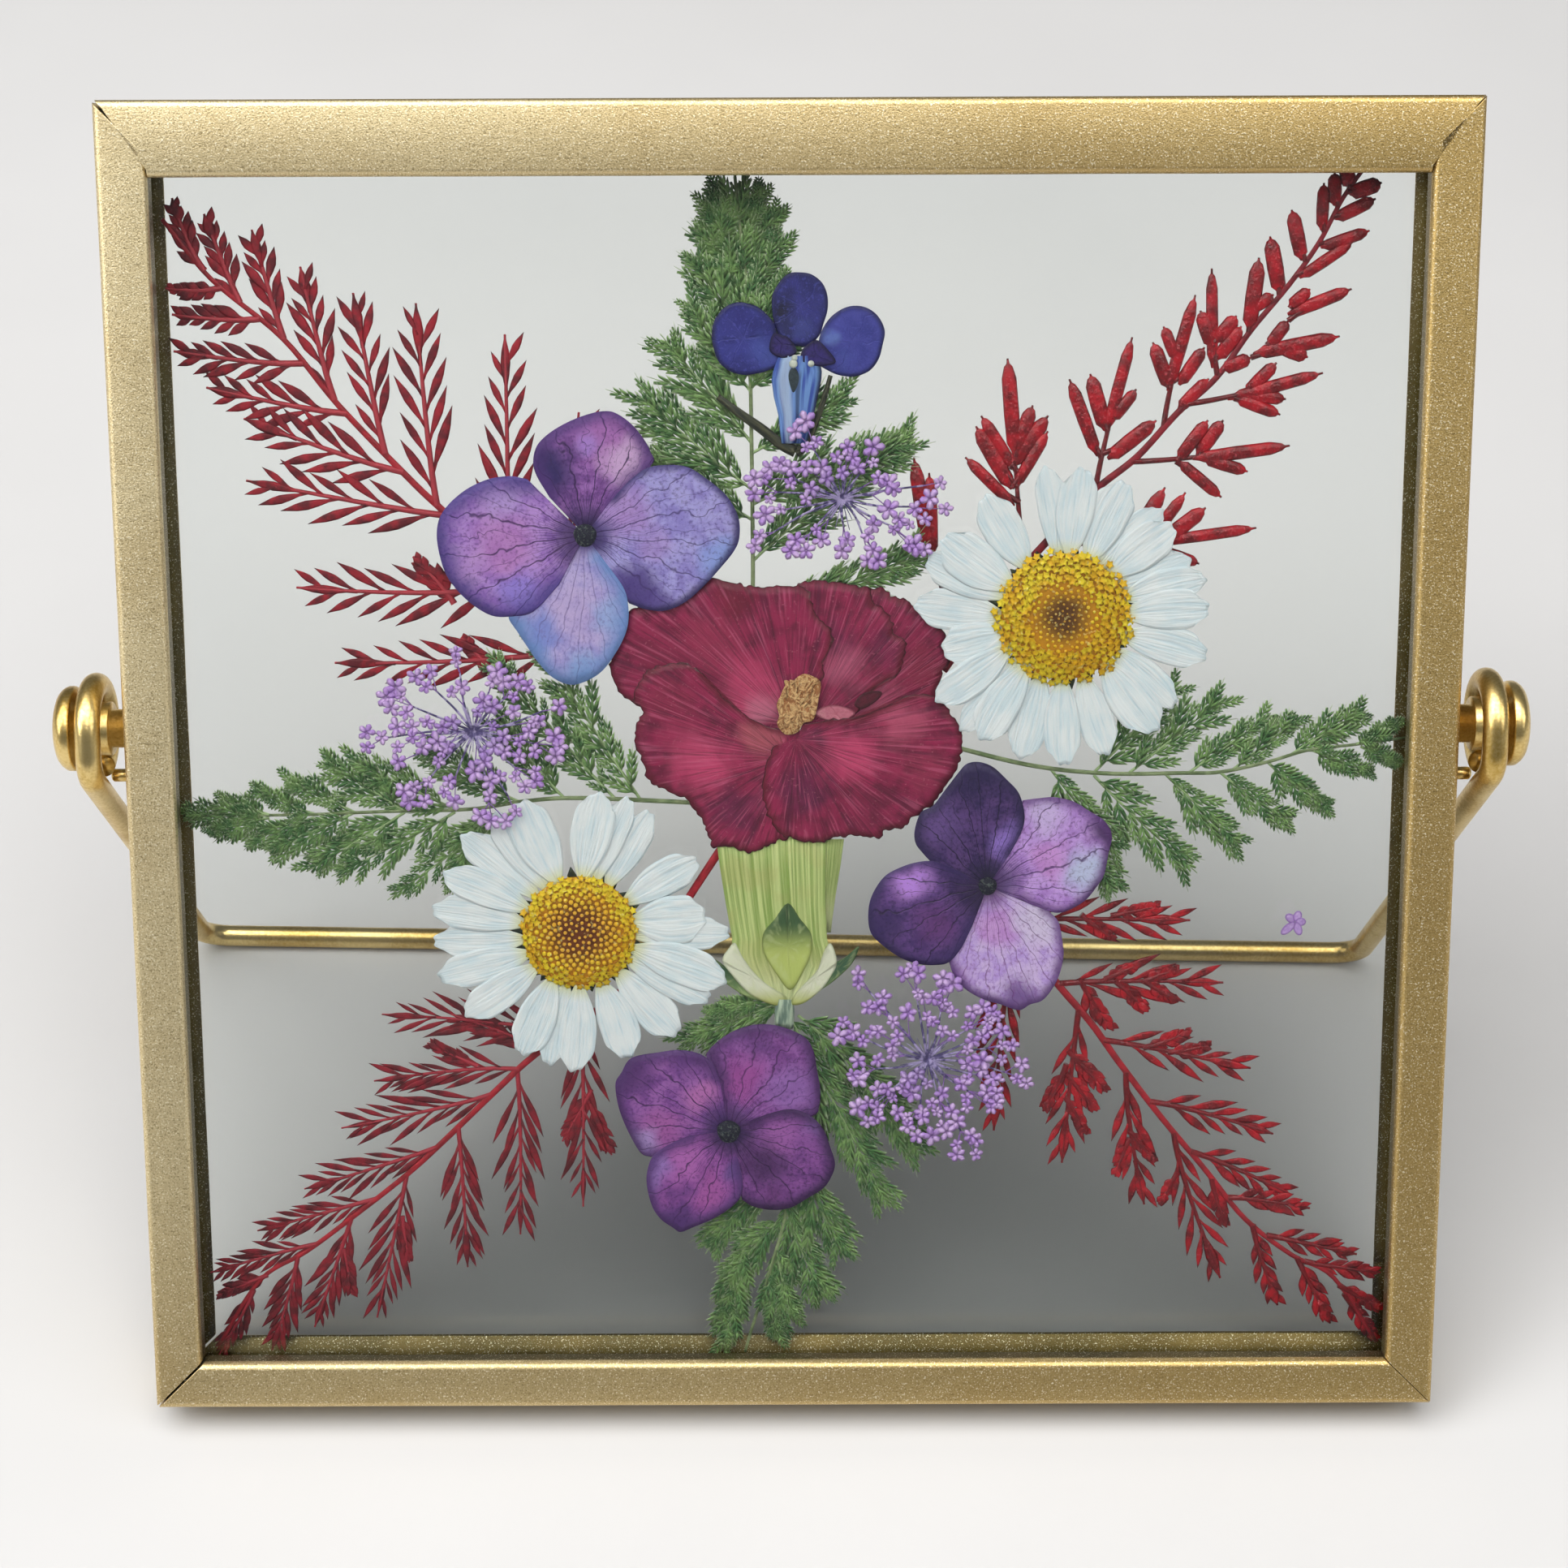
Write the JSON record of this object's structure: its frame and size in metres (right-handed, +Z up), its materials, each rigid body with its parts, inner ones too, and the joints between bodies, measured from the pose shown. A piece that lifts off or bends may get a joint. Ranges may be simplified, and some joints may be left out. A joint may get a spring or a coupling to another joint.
{
  "type": "pressed flower frame",
  "caption": "Square brass frame that holds pressed flowers and ferns between two glass panes and leans back on a folding wire stand.",
  "frame": {"origin": "middle of the footprint, on the surface that the frame stands on", "axes": "+X to the right as seen from the front, along the hinge; +Y to the back; +Z up"},
  "size_m": [0.1446, 0.0756, 0.1142],
  "materials": {
    "brass": "satin, lightly aged sheet and wire",
    "glass": "clear and polished",
    "red_fern": "dried, dyed red",
    "green_fern": "dried, matt",
    "hydrangea": "dried petals, matt",
    "daisy": "dried petals, matt",
    "carnation": "dried petals, matt",
    "lobelia": "dried petals, matt",
    "umbel": "dried florets, matt"
  },
  "bodies": {
    "frame": {"top_rail": "brass", "bottom_rail": "brass", "left_rail": "brass", "right_rail": "brass", "front_pane": "glass", "back_pane": "glass", "left_pivot_pin": "brass", "right_pivot_pin": "brass", "left_stop_pin": "brass", "right_stop_pin": "brass", "upper_left_fern": "red_fern", "upper_right_fern": "red_fern", "lower_left_fern": "red_fern", "lower_right_fern": "red_fern", "top_green_fern": "green_fern", "left_green_fern": "green_fern", "right_green_fern": "green_fern", "bottom_green_fern": "green_fern", "upper_left_hydrangea": "hydrangea", "right_hydrangea": "hydrangea", "bottom_hydrangea": "hydrangea", "right_daisy": "daisy", "left_daisy": "daisy", "carnation": "carnation", "lobelia": "lobelia", "top_umbel": "umbel", "left_umbel": "umbel", "lower_right_umbel": "umbel", "stray_floret": "umbel"},
    "stand": {"stand": "brass"}
  },
  "joints": [
    {"name": "stand_hinge", "type": "hinge", "parent": "frame", "child": "stand", "pos_m": [0, 0.00254, 0.06118], "axis": [1, 0, 0], "range_deg": [-49.5, 0]}
  ]
}
